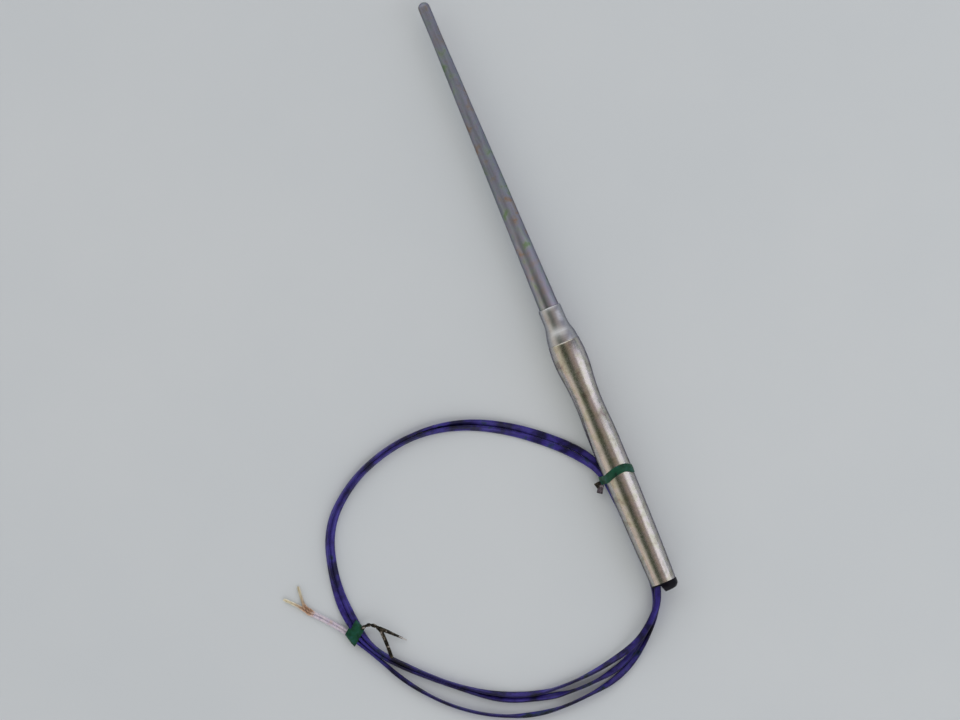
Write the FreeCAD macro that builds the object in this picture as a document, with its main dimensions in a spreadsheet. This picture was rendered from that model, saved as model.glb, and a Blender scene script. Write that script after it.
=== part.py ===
import FreeCAD, Part
import math
import os
import Sketcher

# A hand-held thermocouple probe lying on a surface: a tapered steel stem, a turned bush and a flared steel
# handle on one axis, the wires and ceramic beads inside them, and the coiled lead with its two twist ties.
# Millimetres; +Y runs along the probe to its tip, +X to its right, +Z up from the surface it lies on.

doc = FreeCAD.newDocument("thermocouple_probe")
Vector = FreeCAD.Vector

# Driving dimensions
SIZES = {
    "stem_length": 140.0,
    "tip_diameter": 5.0,
    "tip_parallel": 16.0,
    "root_diameter": 8.6,
    "stem_tail": 22.0,
    "sheath_wall": 0.7,
    "collar_length": 6.0,
    "collar_wall": 0.7,
    "collar_chamfer": 0.4,
    "shoulder_length": 10.0,
    "shoulder_step": 0.2,
    "head_length": 10.0,
    "handle_length": 110.0,
    "handle_wall": 1.0,
    "nose_diameter": 14.6,
    "nose_run": 7.5,
    "lip_drop": 0.48,
    "lip_wall": 0.55,
    "lip_chamfer": 0.3,
    "waist_run": 21.0,
    "waist_drop": 1.4,
    "barrel_run": 20.5,
    "barrel_rise": 0.55,
    "rear_drop": 0.95,
    "seal_dome": 4.0,
    "seal_rim": 0.2,
    "seal_round": 2.6,
    "seal_spigot": 8.0,
    "step_depth": 3.4,
    "step_offset": 0.8,
    "braze_clearance": 0.05,
    "press_clearance": 0.05,
    "junction_gap": 0.9,
    "junction_clearance": 0.5,
    "leg_diameter": 0.6,
    "bead_gap": 1.1,
    "bead_length": 12.0,
    "bead_clearance": 0.3,
    "bore_clearance": 0.2,
    "splice_offset": 16.0,
    "splice_stagger": 20.0,
    "splice_length": 8.0,
    "splice_wall": 0.2,
    "splice_clearance": 0.1,
    "sleeve_length": 12.0,
    "sleeve_wall": 0.15,
    "core_diameter": 1.1,
    "bare_gap": 0.5,
    "lead_diameter": 2.0,
    "lead_clearance": 0.3,
    "free_core_diameter": 1.25,
    "bare_wire_diameter": 0.95,
    "tie_thickness": 0.45,
    "tie_width": 4.2,
    "tie_clearance": 0.05,
}
BEAD_COUNT = 14

sheet = doc.addObject("Spreadsheet::Sheet", "sizes")
for row, (alias, number) in enumerate(SIZES.items(), start=1):
    sheet.set(f"A{row}", alias)
    sheet.set(f"B{row}", str(number))
    sheet.setAlias(f"B{row}", alias)
doc.recompute()

# Places along the axis, counted from the tip
LIP_FACE = "(sizes.stem_length + sizes.collar_length + sizes.shoulder_length)"
HANDLE_END = f"({LIP_FACE} + sizes.handle_length)"
OVERALL = f"({HANDLE_END} + sizes.seal_dome)"
AXIS_HEIGHT = "sizes.nose_diameter / 2"


def value(expression):
    """The number that an expression on the sheet gives."""
    result = sheet.evalExpression(expression)
    return float(getattr(result, "Value", result))


# Helpers for pieces on the probe's axis
def new_sketch(body, name, role):
    """A sketch on one of the body's own origin planes."""
    sketch = body.newObject("Sketcher::SketchObject", name)
    plane = next(feature for feature in body.Origin.OriginFeatures if feature.Role == role)
    sketch.AttachmentSupport = [(plane, "")]
    sketch.MapMode = "FlatFace"
    return sketch


def bind(sketch, expression, *constraint):
    """A dimension of the sketch that follows an expression."""
    index = sketch.addConstraint(Sketcher.Constraint(*constraint, value(expression)))
    sketch.setExpression(f"Constraints[{index}]", expression)


def fix_point(sketch, edge, end, x, y):
    """Holds one point of an edge at (x, y) from the sketch's origin."""
    for expression, kind, axis in ((x, "DistanceX", -2), (y, "DistanceY", -1)):
        if abs(value(expression)) < 1e-9:
            sketch.addConstraint(Sketcher.Constraint("PointOnObject", edge, end, axis))
        else:
            bind(sketch, expression, kind, -1, 1, edge, end)


def add_edge(sketch, start, end, turn):
    """A line, or an arc of radius |turn| with its centre on the left (turn > 0) or right of the way."""
    if turn == 0:
        return sketch.addGeometry(Part.LineSegment(start, end)), 1, 2
    chord = end - start
    left = Vector(-chord.y, chord.x, 0).normalize()
    rise = math.sqrt(turn ** 2 - (chord.Length / 2) ** 2)
    centre = (start + end) * 0.5 + left * math.copysign(rise, turn)
    first, last = (start, end) if turn > 0 else (end, start)
    angles = [math.atan2(point.y - centre.y, point.x - centre.x) for point in (first, last)]
    circle = Part.Circle(centre, Vector(0, 0, 1), abs(turn))
    edge = sketch.addGeometry(Part.ArcOfCircle(circle, *angles))
    return (edge, 1, 2) if turn > 0 else (edge, 2, 1)


def draw_outline(sketch, corners):
    """A closed outline through corners of (x, y) or (x, y, side, radius), every size an expression; with a
    radius, the edge to the next corner is an arc with its centre on the left (1) or right (-1) of the way."""
    places = [Vector(value(corner[0]), value(corner[1]), 0) for corner in corners]
    edges = []
    for corner, start, end in zip(corners, places, places[1:] + places[:1]):
        side, radius = corner[2:] if len(corner) > 2 else (0, "0")
        edges.append(add_edge(sketch, start, end, side * value(radius)))
        if side:
            bind(sketch, radius, "Radius", edges[-1][0])
    for (edge, begin, _), (before, _, finish), corner in zip(edges, edges[-1:] + edges[:-1], corners):
        sketch.addConstraint(Sketcher.Constraint("Coincident", before, finish, edge, begin))
        fix_point(sketch, edge, begin, corner[0], corner[1])


def seat(piece, start, aside="0"):
    """Puts a piece on the probe's axis, its origin at start behind the tip and at aside to the right."""
    piece.Placement = FreeCAD.Placement(Vector(), FreeCAD.Rotation(Vector(0, 0, 1), -90))
    piece.setExpression("Placement.Base.x", aside)
    piece.setExpression("Placement.Base.y", f"{OVERALL} / 2 - ({start})")
    piece.setExpression("Placement.Base.z", AXIS_HEIGHT)


def turned(label, start, corners, aside="0"):
    """A piece turned from a closed outline of (distance, radius) corners."""
    body = doc.addObject("PartDesign::Body", label)
    sketch = new_sketch(body, f"{label}_outline", "XY_Plane")
    draw_outline(sketch, corners)
    doc.recompute()
    feature = body.newObject("PartDesign::Revolution", f"{label}_turned")
    feature.Profile = sketch
    feature.ReferenceAxis = (sketch, ["H_Axis"])
    feature.Angle = 360
    seat(body, start, aside)
    return body


def drawn(label, start, length, circles, aside="0"):
    """A straight piece with a section of circles of (offset to the right, diameter), the outside first."""
    body = doc.addObject("PartDesign::Body", label)
    sketch = new_sketch(body, f"{label}_section", "YZ_Plane")
    for offset, diameter in circles:
        centre = Vector(value(offset), 0, 0)
        edge = sketch.addGeometry(Part.Circle(centre, Vector(0, 0, 1), value(diameter) / 2))
        fix_point(sketch, edge, 3, offset, "0")
        bind(sketch, diameter, "Diameter", edge)
    doc.recompute()
    feature = body.newObject("PartDesign::Pad", f"{label}_drawn")
    feature.Profile = sketch
    feature.setExpression("Length", length)
    seat(body, start, aside)
    return body


# Stem: a drawn tube with a round closed tip, a short parallel end, a long taper and a tail in the bush
tip_radius = "(sizes.tip_diameter / 2)"
root_radius = "(sizes.root_diameter / 2)"
tip_bore = f"({tip_radius} - sizes.sheath_wall)"
root_bore = f"({root_radius} - sizes.sheath_wall)"
stem_end = "(sizes.stem_length + sizes.stem_tail)"
turned("stem_sheath", "0", [
    ("0", "0", -1, tip_radius),
    (tip_radius, tip_radius),
    ("sizes.tip_parallel", tip_radius),
    ("sizes.stem_length", root_radius),
    (stem_end, root_radius),
    (stem_end, root_bore),
    ("sizes.stem_length", root_bore),
    ("sizes.tip_parallel", tip_bore),
    (tip_radius, tip_bore, 1, tip_bore),
    ("sizes.sheath_wall", "0"),
])


def two_arcs(run, rise):
    """Sum of the radii of two tangent arcs that carry one crest to the next over a run and a rise."""
    return f"(({run} ^ 2 + {rise} ^ 2) / (2 * {rise}))"


# Bush: a plain collar, a shoulder that swells in two equal arcs, the first hollow and the second round, and
# a head that presses into the handle
nose_radius = "(sizes.nose_diameter / 2)"
lip_radius = f"({nose_radius} - sizes.lip_drop)"
seat_radius = f"({lip_radius} - sizes.lip_wall)"
head_radius = f"({seat_radius} - sizes.press_clearance)"
bush_bore = f"({root_radius} + sizes.braze_clearance)"
collar_radius = f"({root_radius} + sizes.collar_wall)"
shoulder_radius = f"({lip_radius} - sizes.shoulder_step)"
flare_rise = f"({shoulder_radius} - {collar_radius})"
flare_arc = f"({two_arcs('sizes.shoulder_length', flare_rise)} / 2)"
flare_end = "(sizes.collar_length + sizes.shoulder_length)"
bush_end = f"({flare_end} + sizes.head_length)"
turned("reducing_bush", "sizes.stem_length", [
    ("0", bush_bore),
    ("0", f"{collar_radius} - sizes.collar_chamfer"),
    ("sizes.collar_chamfer", collar_radius),
    ("sizes.collar_length", collar_radius, 1, flare_arc),
    ("sizes.collar_length + sizes.shoulder_length / 2", f"{collar_radius} + {flare_rise} / 2", -1, flare_arc),
    (flare_end, shoulder_radius),
    (flare_end, head_radius),
    (bush_end, head_radius),
    (bush_end, bush_bore),
])

# Handle: one spun tube whose outside is four arcs, each tangent to the next: nose, waist, barrel and taper
waist_radius = f"({nose_radius} - sizes.waist_drop)"
barrel_radius = f"({waist_radius} + sizes.barrel_rise)"
rear_radius = f"({barrel_radius} - sizes.rear_drop)"
waist_offset = "(sizes.nose_run + sizes.waist_run)"
barrel_offset = f"({waist_offset} + sizes.barrel_run)"
rear_run = f"(sizes.handle_length - {barrel_offset})"

nose_arc = two_arcs("sizes.nose_run", "sizes.lip_drop")
waist_span = two_arcs("sizes.waist_run", "sizes.waist_drop")
waist_arc = f"({waist_span} - {nose_arc})"
barrel_span = two_arcs("sizes.barrel_run", "sizes.barrel_rise")
barrel_arc = f"({barrel_span} - {waist_arc})"
rear_arc = two_arcs(rear_run, "sizes.rear_drop")
lip_fall = f"({nose_arc} - sqrt({nose_arc} ^ 2 - (sizes.nose_run - sizes.lip_chamfer) ^ 2))"
turned("handle_tube", LIP_FACE, [
    ("0", seat_radius),
    ("0", f"{lip_radius} - sizes.lip_chamfer"),
    ("sizes.lip_chamfer", f"{nose_radius} - {lip_fall}", -1, nose_arc),
    (f"sizes.nose_run + {nose_arc} / {waist_span} * sizes.waist_run",
     f"{nose_radius} - {nose_arc} * sizes.waist_drop / {waist_span}", 1, waist_arc),
    (f"{waist_offset} + {waist_arc} / {barrel_span} * sizes.barrel_run",
     f"{waist_radius} + {waist_arc} * sizes.barrel_rise / {barrel_span}", -1, barrel_arc),
    (barrel_offset, barrel_radius, -1, rear_arc),
    ("sizes.handle_length", rear_radius),
    ("sizes.handle_length", f"{rear_radius} - sizes.handle_wall"),
    (barrel_offset, f"{barrel_radius} - sizes.handle_wall"),
    (waist_offset, f"{waist_radius} - sizes.handle_wall"),
    ("sizes.head_length", seat_radius),
])

# Hot junction: the two wires welded into one round bead near the tip
junction_radius = f"({tip_bore} - sizes.junction_clearance)"
junction_start = "(sizes.sheath_wall + sizes.junction_gap)"
leg_start = f"({junction_start} + {junction_radius})"
turned("hot_junction", junction_start, [
    ("0", "0", -1, junction_radius),
    (junction_radius, junction_radius),
    (junction_radius, "0"),
])

# Beads: twin-bore ceramic tubes threaded end to end on the two wires
bead_radius = f"({tip_bore} - sizes.bead_clearance)"
bead_bore = "(sizes.leg_diameter + sizes.bore_clearance)"
leg_aside = f"{bead_radius} / 2"
beads_start = f"({leg_start} + sizes.bead_gap)"
beads_end = f"({beads_start} + {BEAD_COUNT} * sizes.bead_length)"
for number in range(BEAD_COUNT):
    bead_start = f"{beads_start} + {number} * sizes.bead_length"
    drawn(f"insulator_bead_{number + 1:02d}", bead_start, "sizes.bead_length", [
        ("0", f"2 * {bead_radius}"),
        (leg_aside, bead_bore),
        (f"-{leg_aside}", bead_bore),
    ])

# Lead: the route of the middle of the jacket, with y counted from the outer face of the end seal. It leaves
# the seal on its left, passes over its own later turns, goes twice round by the handle's underside and ends
# at a tie.
axis_height = value(AXIS_HEIGHT)
lead_radius = value("sizes.lead_diameter / 2")
on_tie = lead_radius + value("sizes.tie_thickness + sizes.tie_clearance")
ROUTE = [
    (0.0, 28.0, axis_height), (0.0, 17.0, axis_height), (-4.5, -2.8, axis_height - 0.9),
    (-11.4, -10.6, 5.8), (-20.5, -16.0, 4.6), (-34.0, -19.2, 2.2),
    (-50.0, -21.6, lead_radius), (-67.0, -20.4, lead_radius), (-83.0, -14.4, lead_radius),
    (-98.6, -2.6, lead_radius), (-112.2, 11.0, lead_radius), (-122.4, 24.6, on_tie),
    (-126.8, 40.0, on_tie), (-127.2, 58.5, lead_radius), (-121.8, 78.8, lead_radius),
    (-107.6, 92.8, lead_radius), (-90.3, 100.0, lead_radius), (-72.0, 101.7, lead_radius),
    (-53.5, 97.8, lead_radius), (-36.8, 88.2, lead_radius), (-22.0, 75.0, lead_radius),
    (-12.2, 65.2, on_tie + 0.5), (-6.3, 56.2, on_tie + 2.1 * lead_radius), (-6.65, 39.5, lead_radius),
    (-5.15, 20.0, lead_radius), (-5.7, -1.4, lead_radius), (-14.6, -13.3, lead_radius),
    (-30.3, -22.6, lead_radius), (-50.5, -25.6, lead_radius), (-67.5, -23.6, lead_radius),
    (-84.4, -17.2, lead_radius), (-100.4, -5.0, lead_radius), (-114.2, 8.8, lead_radius),
    (-124.6, 23.4, on_tie), (-129.2, 40.0, on_tie), (-129.5, 59.0, lead_radius),
    (-123.7, 80.0, lead_radius), (-108.9, 94.6, lead_radius), (-91.0, 102.2, lead_radius),
    (-71.8, 104.0, lead_radius), (-52.3, 100.2, lead_radius), (-34.9, 90.5, lead_radius),
    (-19.8, 77.2, lead_radius), (-10.1, 67.0, on_tie), (-4.95, 57.6, on_tie + 0.2),
    (-4.45, 40.5, on_tie - 0.3), (-3.05, 20.5, lead_radius), (-3.5, -1.3, lead_radius),
    (-10.5, -12.6, lead_radius), (-29.7, -26.4, lead_radius), (-51.5, -30.4, lead_radius),
    (-69.5, -28.8, lead_radius), (-87.4, -22.4, lead_radius), (-103.4, -10.2, lead_radius),
    (-117.0, 5.0, lead_radius), (-126.2, 21.8, on_tie), (-131.9, 37.5, on_tie),
]
ARC_SHARE = 0.45
exit_y = -value(OVERALL) / 2
route = [Vector(x, exit_y + y, z) for x, y, z in ROUTE]


def tube(label, points, diameter):
    """A round tube along straight runs joined by tangent arcs, each as large as its two runs allow."""
    edges = []
    radii = []
    start = points[0]
    for before, corner, after in zip(points, points[1:], points[2:]):
        back = (before - corner).normalize()
        ahead = (after - corner).normalize()
        reach = ARC_SHARE * min(before.distanceToPoint(corner), after.distanceToPoint(corner))
        half_turn = (math.pi - back.getAngle(ahead)) / 2
        radii.append(reach / math.tan(half_turn))
        middle = corner + (back + ahead).normalize() * (radii[-1] / math.cos(half_turn) - radii[-1])
        edges.append(Part.LineSegment(start, corner + back * reach).toShape())
        edges.append(Part.Arc(corner + back * reach, middle, corner + ahead * reach).toShape())
        start = corner + ahead * reach
    edges.append(Part.LineSegment(start, points[-1]).toShape())
    path = Part.Wire(edges)
    section = Part.Wire([Part.makeCircle(diameter / 2, points[0], points[1] - points[0])])
    feature = doc.addObject("Part::Feature", label)
    feature.Shape = path.makePipeShell([section], True, False)
    expected = math.pi * diameter ** 2 / 4 * path.Length
    share = feature.Shape.Volume / expected
    print(f"{label}: length {path.Length:.1f}, volume {share:.4f} of section x length")
    print(f"  arc radii {[round(radius, 1) for radius in radii]}")
    return feature


tube("lead_cable", route, 2 * lead_radius)

# End seal: a rounded black plug, its spigot in the handle's bore and its face over the tube's rim. The left
# side of the face is cut back to a step, where a hole lets the lead out
spigot_radius = f"{rear_radius} - sizes.handle_wall - sizes.press_clearance"
seal_radius = f"({rear_radius} + sizes.seal_rim)"
seal_end = "(sizes.seal_spigot + sizes.seal_dome)"
seal_blank = turned("seal_blank", f"{HANDLE_END} - sizes.seal_spigot", [
    ("0", "0"),
    ("0", spigot_radius),
    ("sizes.seal_spigot", spigot_radius),
    ("sizes.seal_spigot", seal_radius),
    (f"{seal_end} - sizes.seal_round", seal_radius, -1, "sizes.seal_round"),
    (seal_end, f"{seal_radius} - sizes.seal_round"),
    (seal_end, "0"),
])
lead_hole = doc.addObject("Part::Cylinder", "lead_hole")
lead_hole.setExpression("Radius", "(sizes.lead_diameter + sizes.lead_clearance) / 2")
lead_hole.Height = route[1].distanceToPoint(route[2])
lead_hole.Placement = FreeCAD.Placement(route[1], FreeCAD.Rotation(Vector(0, 0, 1), route[2] - route[1]))
lead_step = doc.addObject("Part::Box", "lead_step")
lead_step.setExpression("Length", seal_radius)
lead_step.setExpression("Width", "sizes.seal_dome + sizes.step_depth")
lead_step.setExpression("Height", f"2 * {AXIS_HEIGHT}")
lead_step.setExpression("Placement.Base.x", f"-{seal_radius} - sizes.step_offset")
lead_step.setExpression("Placement.Base.y", f"-{OVERALL} / 2 - sizes.seal_dome")
seal_cuts = doc.addObject("Part::Fuse", "seal_cuts")
seal_cuts.Base = lead_hole
seal_cuts.Tool = lead_step
end_seal = doc.addObject("Part::Cut", "end_seal")
end_seal.Base = seal_blank
end_seal.Tool = seal_cuts

# Wires, ferrules, sleeves and inner cores: one of each a side, the two splices staggered along the handle
jacket_end = f"({OVERALL} - {ROUTE[0][1]})"
splice_bore = "(sizes.leg_diameter + sizes.splice_clearance)"
splice_outside = f"({splice_bore} + 2 * sizes.splice_wall)"
sleeve_bore = f"({splice_outside} + sizes.splice_clearance)"
sleeve_overlap = "(sizes.sleeve_length - sizes.splice_length) / 2"
bared_length = "(sizes.sleeve_length / 2 + sizes.bare_gap)"
for polarity, side, stagger in (("positive", "", "0"), ("negative", "-", "sizes.splice_stagger")):
    aside = f"{side}{leg_aside}"
    splice_start = f"({beads_end} + sizes.splice_offset + {stagger})"
    splice_middle = f"({splice_start} + sizes.splice_length / 2)"
    core_length = f"({jacket_end} - {splice_middle})"
    drawn(f"{polarity}_leg", leg_start, f"{splice_middle} - {leg_start}",
          [("0", "sizes.leg_diameter")], aside)
    drawn(f"{polarity}_splice", splice_start, "sizes.splice_length",
          [("0", splice_outside), ("0", splice_bore)], aside)
    drawn(f"{polarity}_splice_sleeve", f"{splice_start} - {sleeve_overlap}", "sizes.sleeve_length",
          [("0", f"{sleeve_bore} + 2 * sizes.sleeve_wall"), ("0", sleeve_bore)], aside)
    turned(f"inner_core_{polarity}", splice_middle, [
        ("0", "0"),
        ("0", "sizes.leg_diameter / 2"),
        (bared_length, "sizes.leg_diameter / 2"),
        (bared_length, "sizes.core_diameter / 2"),
        (core_length, "sizes.core_diameter / 2"),
        (core_length, "0"),
    ], aside)

# Free end: the pale cores side by side where the jacket stops, and the bared wires that fork from them
free_radius = value("sizes.free_core_diameter / 2")
bare_radius = value("sizes.bare_wire_diameter / 2")
lead_heading = (route[-1] - route[-2]).normalize()
to_right = lead_heading.cross(Vector(0, 0, 1)).normalize()
PAIR_GAP = 0.05
CORE_STRAIGHT = 2.5
CORE_DROP = 0.45
WIRE_STRAIGHT = 3.6
FORKS = {
    "negative": {"side": -1, "core_end": (-142.7, 47.8), "wire_end": (-151.2, 58.3)},
    "positive": {"side": 1, "core_end": (-141.7, 48.8), "wire_end": (-143.7, 61.4)},
}
for polarity, fork in FORKS.items():
    core_start = route[-1] + to_right * fork["side"] * (free_radius + PAIR_GAP)
    core_bend = core_start + lead_heading * CORE_STRAIGHT
    core_end = Vector(fork["core_end"][0], exit_y + fork["core_end"][1], free_radius)
    core_floor = core_bend + (core_end - core_bend) * CORE_DROP
    core_floor.z = free_radius
    wire_bend = core_end + (core_end - core_floor).normalize() * WIRE_STRAIGHT
    wire_end = Vector(fork["wire_end"][0], exit_y + fork["wire_end"][1], bare_radius)
    tube(f"free_core_{polarity}", [core_start, core_bend, core_floor, core_end], 2 * free_radius)
    tube(f"bare_end_{polarity}", [core_end, wire_bend, wire_end], 2 * bare_radius)

# Twist ties: a plastic-covered wire strip pulled round its bundle, its two ends twisted together and splayed
tie_width = value("sizes.tie_width")
tie_thickness = value("sizes.tie_thickness")
tie_clearance = value("sizes.tie_clearance")
TWIST_THICKNESS = 2 * tie_thickness
TWIST_WIDTH = 2.0
SLAB = 60.0


def band(rolls, middle, lean=0):
    """A flat strip pulled round rolls of (centre, radius), listed anticlockwise in the section y = middle: an
    arc on each roll and the tangents between, cut to its width by two planes that lean from the section in
    degrees."""
    normals = []
    for (centre, radius), (following, next_radius) in zip(rolls, rolls[1:] + rolls[:1]):
        line = following - centre
        normals.append(math.atan2(line.z, line.x) - math.acos((radius - next_radius) / line.Length))
    wires = []
    for growth in (tie_thickness, 0):
        arcs = []
        for (centre, radius), arriving, leaving in zip(rolls, normals[-1:] + normals[:-1], normals):
            middle_angle = arriving + (leaving - arriving) % (2 * math.pi) / 2
            arcs.append([centre + Vector(math.cos(angle), 0, math.sin(angle)) * (radius + growth)
                         for angle in (arriving, middle_angle, leaving)])
        edges = []
        for arc, following in zip(arcs, arcs[1:] + arcs[:1]):
            edges.append(Part.Arc(*arc).toShape())
            edges.append(Part.LineSegment(arc[2], following[0]).toShape())
        wires.append(Part.Wire(edges))
    face = Part.makeFace(wires, "Part::FaceMakerBullseye")
    sleeve = face.translated(Vector(0, -SLAB / 2, 0)).extrude(Vector(0, SLAB, 0))
    slab = Part.makeBox(SLAB, tie_width, SLAB, Vector(-SLAB / 2, -tie_width / 2, -SLAB / 2))
    slab.rotate(Vector(), Vector(0, 0, 1), lean)
    return sleeve.common(slab).Solids[0].translated(Vector(0, middle, 0))


def strip(stations, thickness):
    """A flat strip through stations of (point, width, roll), the roll in degrees about the strip's line."""
    points = [station[0] for station in stations]
    sections = []
    for index, (point, width, roll) in enumerate(stations):
        ahead = (points[min(index + 1, len(points) - 1)] - points[max(index - 1, 0)]).normalize()
        level = Vector(0, 0, 1).cross(ahead).normalize()
        turn = FreeCAD.Rotation(ahead, roll)
        across = turn.multVec(level) * (width / 2)
        through = turn.multVec(ahead.cross(level)) * (thickness / 2)
        corners = [point + across + through, point - across + through,
                   point - across - through, point + across - through]
        sections.append(Part.makePolygon(corners + corners[:1]))
    return Part.makeLoft(sections, True, True)


def tie(label, bands, strips, middle, turn=0):
    """One tie: its bands and its twisted and splayed ends as a single piece, turned about the vertical."""
    feature = doc.addObject("Part::Feature", label)
    feature.Shape = bands[0].multiFuse(bands[1:] + strips).removeSplitter()
    feature.Placement = FreeCAD.Placement(middle, FreeCAD.Rotation(Vector(0, 0, 1), turn))
    return feature


# Tie round the handle and the two strands that lie one on the other under its left side
HANDLE_TIE = Vector(0, exit_y + 54.2, 0)
HANDLE_TIE_LEAN = 7.7
STRAND_SLACK = 0.42
loop_radius = lead_radius + tie_clearance + STRAND_SLACK
upper_strand = Vector(-6.68, 0, on_tie + 1.58 * lead_radius)
lower_strand = Vector(-4.98, 0, tie_thickness + loop_radius)
rear_arc_radius = value(rear_arc)
behind_barrel = value(f"{OVERALL} / 2 - {LIP_FACE} - {barrel_offset}") - HANDLE_TIE.y
tied_radius = value(barrel_radius) - rear_arc_radius + math.sqrt(rear_arc_radius ** 2 - behind_barrel ** 2)
handle_band = band([(Vector(0, 0, axis_height), tied_radius + tie_clearance), (upper_strand, loop_radius),
                    (lower_strand, loop_radius)], 0, HANDLE_TIE_LEAN)
stub = upper_strand - Vector(loop_radius + tie_thickness / 2, 0, 0)
stub.y = stub.x * math.tan(math.radians(HANDLE_TIE_LEAN))
tie("handle_tie", [handle_band], [
    strip([
        (stub + Vector(0.05, 0.9, 0.05), TWIST_WIDTH, 90),
        (stub + Vector(-0.55, -0.4, 0.35), TWIST_WIDTH, 40),
        (stub + Vector(-1.3, -1.1, 0.6), TWIST_WIDTH, -20),
    ], TWIST_THICKNESS),
    strip([
        (stub + Vector(-1.1, -1.0, 0.6), 2.0, -10),
        (stub + Vector(-1.9, -1.1, 0.75), 2.4, 20),
        (stub + Vector(-2.6, -0.8, 0.6), 2.2, 40),
    ], tie_thickness),
    strip([
        (stub + Vector(-1.1, -0.9, 0.6), 2.0, 10),
        (stub + Vector(-1.8, -2.6, 0.5), 2.4, -30),
        (stub + Vector(-2.1, -4.3, 0.1), 2.2, -50),
    ], tie_thickness),
], HANDLE_TIE)

# Tie round the three strands of the coil, wound twice
COIL_TIE = Vector(-124.96, exit_y + 33.55, 0)
COIL_TIE_TURN = 15.9
COIL_SPAN = 5.2
COIL_SLACK = 0.35
BAND_GAP = 1.4
coil_radius = lead_radius + tie_clearance
band_top = on_tie + coil_radius
half_pitch = (tie_width + BAND_GAP) / 2
coil_rolls = [(Vector(COIL_SLACK, 0, on_tie), coil_radius),
              (Vector(-COIL_SPAN - COIL_SLACK, 0, on_tie), coil_radius)]
fork_top = band_top + 1.05
tie("coil_tie", [band(coil_rolls, half_pitch), band(coil_rolls, -half_pitch)], [
    strip([
        (Vector(-3.4, 1.2, band_top + tie_thickness / 2), 3.2, 0),
        (Vector(-2.9, -1.2, band_top + tie_thickness / 2), 3.2, 0),
    ], tie_thickness),
    strip([
        (Vector(-1.4, 1.9, band_top + tie_thickness), 3.0, 0),
        (Vector(0.8, 1.6, band_top + tie_thickness), TWIST_WIDTH, 0),
        (Vector(2.4, 1.4, fork_top), TWIST_WIDTH, 60),
        (Vector(3.9, 0.4, fork_top + 0.3), TWIST_WIDTH, 120),
        (Vector(5.0, -1.3, fork_top + 0.2), TWIST_WIDTH, 160),
        (Vector(5.6, -3.3, fork_top), TWIST_WIDTH, 180),
    ], TWIST_THICKNESS),
    strip([
        (Vector(5.45, -2.8, fork_top), 2.4, 10),
        (Vector(8.0, -7.2, fork_top - 0.6), 3.2, 40),
        (Vector(11.0, -13.0, 0.9), 1.2, 80),
    ], tie_thickness),
    strip([
        (Vector(5.45, -2.8, fork_top), 2.4, -10),
        (Vector(4.6, -8.1, fork_top + 0.2), 3.2, -30),
        (Vector(2.2, -15.4, band_top + 0.3), 3.0, -10),
    ], tie_thickness),
], COIL_TIE, COIL_TIE_TURN)

doc.recompute()

# Each piece is checked, then written under its own name
HELPERS = {seal_blank.Name, lead_hole.Name}
pieces = [piece for piece in doc.Objects
          if piece.Name not in HELPERS and piece.TypeId in ("PartDesign::Body", "Part::Cut", "Part::Feature")]
for item in doc.Objects:
    if "Invalid" in item.State or "Error" in item.State:
        raise RuntimeError(f"{item.Label} failed: {item.State}")
for piece in pieces:
    if piece.Shape.isNull() or not piece.Shape.isValid() or len(piece.Shape.Solids) != 1:
        raise RuntimeError(f"{piece.Label} isn't one valid solid")
os.makedirs("parts", exist_ok=True)
for piece in pieces:
    piece.Shape.exportStep(f"parts/{piece.Label}.step")
print(len(pieces), "pieces")
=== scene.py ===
import math

import bmesh
import bpy
import numpy as np
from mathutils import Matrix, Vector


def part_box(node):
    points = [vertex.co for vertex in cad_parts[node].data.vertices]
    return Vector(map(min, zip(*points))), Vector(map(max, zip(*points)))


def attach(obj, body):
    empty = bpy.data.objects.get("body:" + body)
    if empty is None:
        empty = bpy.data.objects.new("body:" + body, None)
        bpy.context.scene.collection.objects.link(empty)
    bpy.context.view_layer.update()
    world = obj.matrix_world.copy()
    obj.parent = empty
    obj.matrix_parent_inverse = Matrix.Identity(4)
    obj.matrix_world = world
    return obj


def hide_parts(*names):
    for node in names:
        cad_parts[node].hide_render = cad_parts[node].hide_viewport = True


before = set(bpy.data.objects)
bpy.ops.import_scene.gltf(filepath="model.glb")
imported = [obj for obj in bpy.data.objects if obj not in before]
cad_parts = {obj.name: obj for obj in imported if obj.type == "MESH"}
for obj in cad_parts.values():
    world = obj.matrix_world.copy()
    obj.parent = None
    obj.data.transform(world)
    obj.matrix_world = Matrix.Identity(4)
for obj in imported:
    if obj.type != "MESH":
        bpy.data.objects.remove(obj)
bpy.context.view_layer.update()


# Stem: a thin stainless tube drawn down to a closed round tip, with a short parallel end and a long even
# taper. Heat has dulled and mottled its skin, most of all towards the tip. Its tail is brazed into the bush.
MM = 0.001
WELD = 1e-8
stem_low, stem_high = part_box("stem_sheath")
TIP_Y, AXIS_HEIGHT = stem_high.y, (stem_low.z + stem_high.z) / 2


def behind_tip(node):
    """Where a node starts and ends, in millimetres behind the probe's tip."""
    low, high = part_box(node)
    return (TIP_Y - high.y) / MM, (TIP_Y - low.y) / MM


STEM_LENGTH, BUSH_END = behind_tip("reducing_bush")
STEM_END = behind_tip("stem_sheath")[1]
TIP_RADIUS, TIP_BORE, TIP_PARALLEL = 2.5, 1.8, 16.0
ROOT_RADIUS, ROOT_BORE = 4.3, 3.6
PARALLEL_FROM, PARALLEL_TO = 4.0, 14.0


def turned(profile, columns=144):
    """A profile of (distance behind the tip, radius) in millimetres carried round the probe's axis: each row
    of the grid is one point of the profile, and its columns are that radius times the cosine and sine of the
    way round."""
    behind, radius = np.asarray(profile, float).T[..., None] * MM
    turn = np.linspace(0, 2 * np.pi, columns, endpoint=False)
    along = np.repeat(TIP_Y - behind, columns, 1)
    return np.stack([radius * np.cos(turn), along, AXIS_HEIGHT + radius * np.sin(turn)], axis=-1)


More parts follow.
